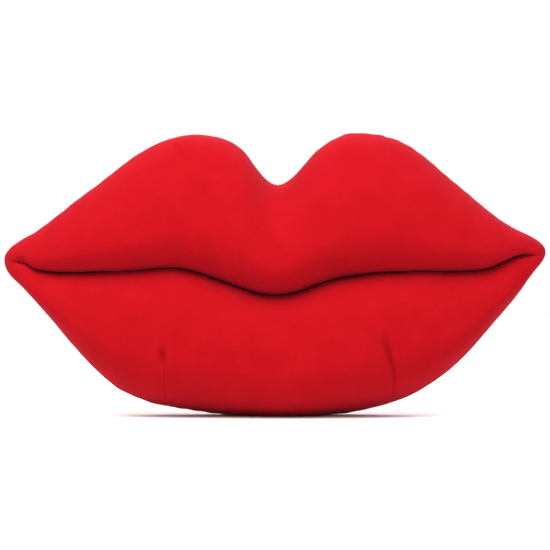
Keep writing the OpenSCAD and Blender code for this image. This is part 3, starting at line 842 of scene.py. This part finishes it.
def zip_tape(name, side, node):
    """One tape: a flat woven strip whose inner edge is thickened into a cord, drawn as its cross-section
    carried along X. The section runs round the strip; the cord is half of an ellipse. The tapes close up to
    each other past the teeth."""
    low, high, cord_r = TAPE_GAP / 2, TAPE_GAP / 2 + TAPE_W, 0.7
    t = np.linspace(0, math.pi, 14)
    face = np.linspace(low + 2 * cord_r, high, 20)
    outer = np.stack([face, 0 * face], -1)
    back = np.stack([face[::-1], 0 * face - TAPE_T], -1)
    bead = np.stack([low + cord_r - cord_r * np.sin(t), -TAPE_T / 2 - 0.45 * np.cos(t)], -1)
    profile = np.concatenate([bead, outer, back])
    from_middle, level = profile[None, :, 0], profile[None, :, 1]
    x = np.linspace(-TAPE_END, TAPE_END, 400)[:, None]
    ripple = 0.08 * np.sin(x / 5.3 + side) * smooth((from_middle - low - 4) / 8)
    closing = (low - 0.1) * smooth((np.abs(x) - TEETH_TO - 8) / 14)
    z = ZIP_Z + side * (from_middle - closing)
    points = np.stack([x + 0 * from_middle, TAPE_Y + level + ripple, z], -1)
    first = points[:1].mean(1, keepdims=True).repeat(len(profile), 1)
    last = points[-1:].mean(1, keepdims=True).repeat(len(profile), 1)
    faces = grid_faces(len(x) + 2, len(profile), False, True)
    if side < 0:
        faces = faces[:, ::-1]
    piece = make_piece(name, np.concatenate([first, points, last]), faces, zip_web, closed_ends=True)
    return place_piece(piece, "zip_tape", node)


def zip_coil(name, side, node):
    """One row of the closed zip: a nylon coil, whose turns are pressed into heads at the middle line, wound
    round a core. Its turns are 3.2 mm wide and 1.2 mm high, and its strand is 0.6 mm thick and 0.8 mm wide at
    the heads."""
    pitch, per_turn, strand_r, sides = 2.0, 18, 0.3, 6
    n_turns = int((TEETH_TO - TEETH_FROM) / pitch)
    s = np.arange(n_turns * per_turn + 1) / per_turn
    a = 2 * math.pi * s
    shift = 0 if side > 0 else pitch / 4
    x = np.minimum(TEETH_FROM + 0.6 + shift + pitch * (s - 0.13 * np.sin(a)), TEETH_TO - 0.4)
    y = 1.15 + 0.78 * np.sin(a) * (1 + 0.2 * np.cos(2 * a))
    z = 0.95 - 1.75 * np.cos(a) * (1 - 0.1 * np.cos(2 * a))
    path = np.stack([x, TAPE_Y + y, ZIP_Z + side * z], -1)
    head = 1 + 0.35 * np.clip(np.cos(a), 0, 1) ** 6
    ahead = np.gradient(path, axis=0)
    ahead /= np.linalg.norm(ahead, axis=1, keepdims=True)
    across = np.cross(ahead, [1.0, 0, 0])
    across /= np.linalg.norm(across, axis=1, keepdims=True)
    coil = carry(path, circle(strand_r, sides), across * head[:, None], np.cross(ahead, across))
    core_x = np.linspace(TEETH_FROM + 0.3, TEETH_TO - 0.3, 60)
    core = np.stack([core_x, 0 * core_x + TAPE_Y + 0.75, 0 * core_x + ZIP_Z + side * 1.7], -1)
    piece = make_piece(name, *joined([coil, strand(core, 0.35, 8)]), red_nylon, closed_ends=True)
    return place_piece(piece, "zip_teeth", node)


zip_tape("zip_tape_above", 1, "zip_tape_upper")
zip_tape("zip_tape_below", -1, "zip_tape_lower")
zip_coil("zip_coil_above", 1, "zip_teeth_upper")
zip_coil("zip_coil_below", -1, "zip_teeth_lower")


def zip_stitches():
    """Two rows of stitches that hold the folded edges to the tapes. Each is a small spindle: its radius is
    0.3 mm times the square root of sin(180 t), and it sinks into the fabric at both ends."""
    pitch, length, rings, sides = 3.2, 2.5, 9, 6
    from_middle = 9.6
    level = TAPE_Y + COVER_T - 0.25
    count = int(SLOT_END / pitch)
    t = np.linspace(0, 1, rings)[:, None]
    arch = np.sin(math.pi * t)
    radius = THREAD_R * np.sqrt(np.maximum(arch, 0))
    a = 2 * math.pi * np.arange(sides) / sides
    one = np.stack([(t - 0.5) * length + 0 * a, THREAD_R * arch + radius * np.sin(a), radius * np.cos(a)], -1)
    parts = []
    for side in (-1, 1):
        for k in range(-count, count + 1):
            at = np.array([k * pitch, level, ZIP_Z + side * from_middle + 0.05 * math.sin(5 * k + side)])
            parts.append((one + at, grid_faces(rings, sides, False, True)))
    piece = make_piece("zip_stitches", *joined(parts), red_thread, closed_ends=True)
    return place_piece(piece, "red_thread", "zip_stitching")


zip_stitches()


def softened(name, node, body, width):
    """A merged copy of one of the zip's CAD nodes, in enamel, with its edges rounded by a bevel."""
    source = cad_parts[node]
    mesh = source.data.copy()
    mesh.transform(source.matrix_world)
    work = bmesh.new()
    work.from_mesh(mesh)
    bmesh.ops.remove_doubles(work, verts=work.verts, dist=1e-6)
    bmesh.ops.dissolve_limit(work, angle_limit=math.radians(2), verts=work.verts, edges=work.edges)
    work.to_mesh(mesh)
    work.free()
    mesh.materials.clear()
    mesh.materials.append(red_enamel)
    mesh.polygons.foreach_set("use_smooth", [True] * len(mesh.polygons))
    piece = bpy.data.objects.new(name, mesh)
    bpy.context.scene.collection.objects.link(piece)
    edge = piece.modifiers.new("rounding", "BEVEL")
    edge.width = width * mm
    edge.segments = 2
    edge.limit_method = "ANGLE"
    edge.angle_limit = math.radians(35)
    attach(piece, body)
    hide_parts(node)
    return piece


softened("slider", "zip_slider", "slider", 0.22)
softened("pull", "zip_pull", "pull", 0.18)
softened("top_stops", "zip_top_stops", "cushion", 0.1)
softened("bottom_stop", "zip_bottom_stop", "cushion", 0.1)

# ---------------------------------------------------------------------------
# The care label, sewn into the seam between the back panels
# ---------------------------------------------------------------------------


LABEL_W, LABEL_L = 22, 38  # as it hangs, folded in half
LABEL_OUT = 1.2  # how far its back layer is from the panel


def care_label():
    """A satin ribbon folded in half, that hangs from the seam over the lower back panel. It follows the
    panel and lifts by 3 mm towards its fold, with a slight curl across."""
    low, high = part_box("care_label")
    middle = (low.x + high.x) / 2 / mm
    top = back_seam_z(middle) - 1
    u = np.linspace(-1, 1, 30)[:, None]
    s = np.linspace(0, 2, 121)[None]
    t = np.where(s < 1, s, 2 - s)
    x, z = middle + LABEL_W / 2 * u + 0.6 * t * np.sin(3 * t), top - LABEL_L * t + 0.3 * u * t
    front_layer = np.where(s < 1, 0.55, 0) * smooth(t * 8) * smooth((1 - t) * 30)
    lift = LABEL_OUT + 3 * t**2 + 0.7 * t * (1 - np.cos(1.4 * u)) + front_layer
    points = behind(x, back_depth(x, z) + lift, z)
    piece = thicken(make_piece("care_label_ribbon", points, grid_faces(30, 121), satin), 0.2)
    return place_piece(piece, "label_fabric", "care_label")


care_label()

# ---------------------------------------------------------------------------
# The inner pad, seen only if the cover comes off
# ---------------------------------------------------------------------------

PAD_WIDE, PAD_HIGH, PAD_DEEP = 0.925, 0.895, 0.86  # the pad's sizes as shares of the cover's
PAD_FLOOR = 6.5  # how far the pad is above the floor
PAD_TUCK = 9  # how far the pad's valley is behind the mouth seam
PAD_SEAM = 0.5  # how far each casing stands off the seam plane
CASING_T = 0.8
PAD_ALONG, PAD_ROUND, PAD_BACK_ROUND = 220, 50, 90


def inner(x, z):
    """Draws a place on a front or back section in to the pad: towards the mouth line, and clear of the
    floor."""
    return x * PAD_WIDE, np.maximum(mouth_z(x * PAD_WIDE) + (z - mouth_z(x)) * PAD_HIGH, PAD_FLOOR)


def pad_front_points(x):
    """The pad's front: the two lips' sections as one cloth, with a soft valley at the mouth."""
    a = turns(PAD_ROUND, 0.4)[None]
    upper_y, upper_z = upper_section(x, a, PAD_TUCK)
    lower_y, lower_z = lower_section(x, a, PAD_TUCK)
    y, z = np.concatenate([upper_y, lower_y[:, 1:]], 1), np.concatenate([upper_z, lower_z[:, 1:]], 1)
    pad_x, pad_z = inner(x, z)
    return in_front(pad_x, y * PAD_DEEP + PAD_SEAM, pad_z)


def pad_back_points(x):
    """The pad's back, held in a little behind the zip."""
    t = np.cos(np.radians(turns(PAD_BACK_ROUND, 0.4)))[None]
    z = (top_z(x) + low_z(x)) / 2 + (top_z(x) - low_z(x)) / 2 * t
    off = np.abs(z - back_seam_z(x))
    held = (1 - smooth((off - 16) / 42)) * (1 - smooth((np.abs(x) - SEAT_END) / 55))
    y = BACK * swell(x) * (1 - np.abs(t) ** 2.4) ** 0.55 * (1 - held) + (TAPE_OUT - 7) * held
    pad_x, pad_z = inner(x, z)
    return behind(pad_x, y * PAD_DEEP + PAD_SEAM, pad_z)


PAD_X = stations(PAD_ALONG)[:, None]
pad_front, pad_back = pad_front_points(PAD_X), pad_back_points(PAD_X)


def casing(name, points, faces, node):
    """One casing of the pad, in cotton."""
    piece = thicken(make_piece(name, points, faces, cotton, closed_ends=True), CASING_T)
    return place_piece(piece, "casing_fabric", node)


casing("pad_front", settled(pad_front.copy()), grid_faces(PAD_ALONG, 2 * PAD_ROUND - 1), "pad_casing_front")
casing("pad_back", pad_back, grid_faces(PAD_ALONG, PAD_BACK_ROUND)[:, ::-1], "pad_casing_back")


def pad_thread():
    """The white thread round the pad's edge, in its seam."""
    x = stations(300)
    (pad_x, top), (_, low) = inner(x, top_z(x)), inner(x, low_z(x))
    ring_x, ring_z = np.concatenate([pad_x, pad_x[-2:0:-1]]), np.concatenate([top, low[-2:0:-1]])
    path = np.stack([ring_x, SEAM_Y + 0 * ring_x, ring_z], -1)
    piece = make_piece("pad_thread", *stitched_ring(path, (0, 1, 0)), white_thread)
    return place_piece(piece, "white_thread", "pad_seam_thread")


pad_thread()


def filling():
    """The fibre filling: one soft mass just inside the pad's casings, with a lumpy surface."""
    depth, margin = 2.6, slice(6, -6)
    front = pad_front - outward(pad_front) * depth
    back = pad_back - outward(pad_back, flip=True) * depth
    loop = np.concatenate([front[margin], back[margin][:, ::-1]], 1)
    wobble = 0.8 * lumps(loop[..., 0], loop[..., 2], 23, 9)
    centre = loop.mean(1, keepdims=True)
    inward = (centre - loop) / np.maximum(np.linalg.norm(centre - loop, axis=-1, keepdims=True), 1)
    loop = loop + inward * (1 + wobble[..., None])
    first, last = centre[:1].repeat(loop.shape[1], 1), centre[-1:].repeat(loop.shape[1], 1)
    faces = grid_faces(len(loop) + 2, loop.shape[1], False, True)
    piece = make_piece("fibre", np.concatenate([first, loop, last]), faces, fibre, closed_ends=True)
    return place_piece(piece, "filling", "fibre_filling")


filling()

# ---------------------------------------------------------------------------
# Camera, floor and lights
# ---------------------------------------------------------------------------

scene = bpy.context.scene
scene.view_settings.view_transform = "Standard"
eye = bpy.data.cameras.new("eye")
eye.sensor_width = 36
DISTANCE, EYE_HEIGHT = 2.4, 0.155
SEEN_WIDTH = 0.610  # what the picture is wide at the seam plane
eye.lens = eye.sensor_width * DISTANCE / SEEN_WIDTH
camera = bpy.data.objects.new("camera", eye)
camera.location = (0, SEAM_Y * mm - DISTANCE, EYE_HEIGHT)
camera.rotation_euler = (math.pi / 2, 0, 0)
scene.collection.objects.link(camera)
scene.camera = camera


def floor_disc():
    """A pale floor: a disc 16 m across, made of rings whose radius grows with the square of their number. It
    is white far off. Near the cushion it is painted whiter, as painted light that lightens the cushion's
    contact shadow and its underside, and between it is grey, so that it throws less light up on the cushion."""
    paper, shader, node, link = material("floor", 0.9, 0.05)
    place = node("ShaderNodeTexCoord").outputs["Object"]
    narrow = node("ShaderNodeVectorMath", operation="MULTIPLY")
    narrow.inputs[1].default_value = (0.4, 1, 1)
    away = node("ShaderNodeVectorMath", operation="LENGTH")
    tone = node("ShaderNodeValToRGB")
    link(place, narrow.inputs[0])
    link(narrow.outputs["Vector"], away.inputs[0])
    link(away.outputs["Value"], tone.inputs["Fac"])
    link(tone.outputs["Color"], shader.inputs["Base Color"])
    stops = tone.color_ramp.elements
    # painted light: near white (0.94) along the cushion's base against its contact shadow, grey (0.68) beyond
    # it to throw less light up, white (0.96) far off
    for at in (0.20, 0.40):
        stops.new(at)
    for stop, at, grey in zip(stops, (0.10, 0.20, 0.40, 0.90), (0.94, 0.68, 0.68, 0.96)):
        stop.position, stop.color = at, (grey, grey, grey, 1)
    n_rings, sides = 24, 64
    r = 8000 * np.linspace(0.01, 1, n_rings)[:, None] ** 2
    a = 2 * math.pi * np.arange(sides)[None] / sides
    rings = np.stack([r * np.cos(a), r * np.sin(a), 0 * r * a], -1)
    rings = np.concatenate([np.zeros((1, sides, 3)), rings])
    faces = grid_faces(n_rings + 1, sides, False, True)
    make_piece("floor", rings, faces, paper, closed_ends=True)


floor_disc()


def soft_box(name, place, aim, size, power):
    """A rectangular light at place, turned towards aim."""
    lamp = bpy.data.lights.new(name, "AREA")
    lamp.shape = "RECTANGLE"
    lamp.size, lamp.size_y = size
    lamp.energy = power
    holder = bpy.data.objects.new(name, lamp)
    holder.location = place
    holder.rotation_euler = (Vector(aim) - Vector(place)).to_track_quat("-Z", "Y").to_euler()
    scene.collection.objects.link(holder)


soft_box("key light", (-0.35, -1.07, 1.88), (0, 0, 0.15), (1.9, 1.3), 62)
soft_box("back light", (0.3, 1.5, 1.5), (0, 0.1, 0.1), (2.2, 1.0), 30)
world = bpy.data.worlds.new("room")
world.use_nodes = True
world.node_tree.nodes["Background"].inputs["Color"].default_value = (1, 1, 1, 1)
world.node_tree.nodes["Background"].inputs["Strength"].default_value = 1.02
scene.world = world
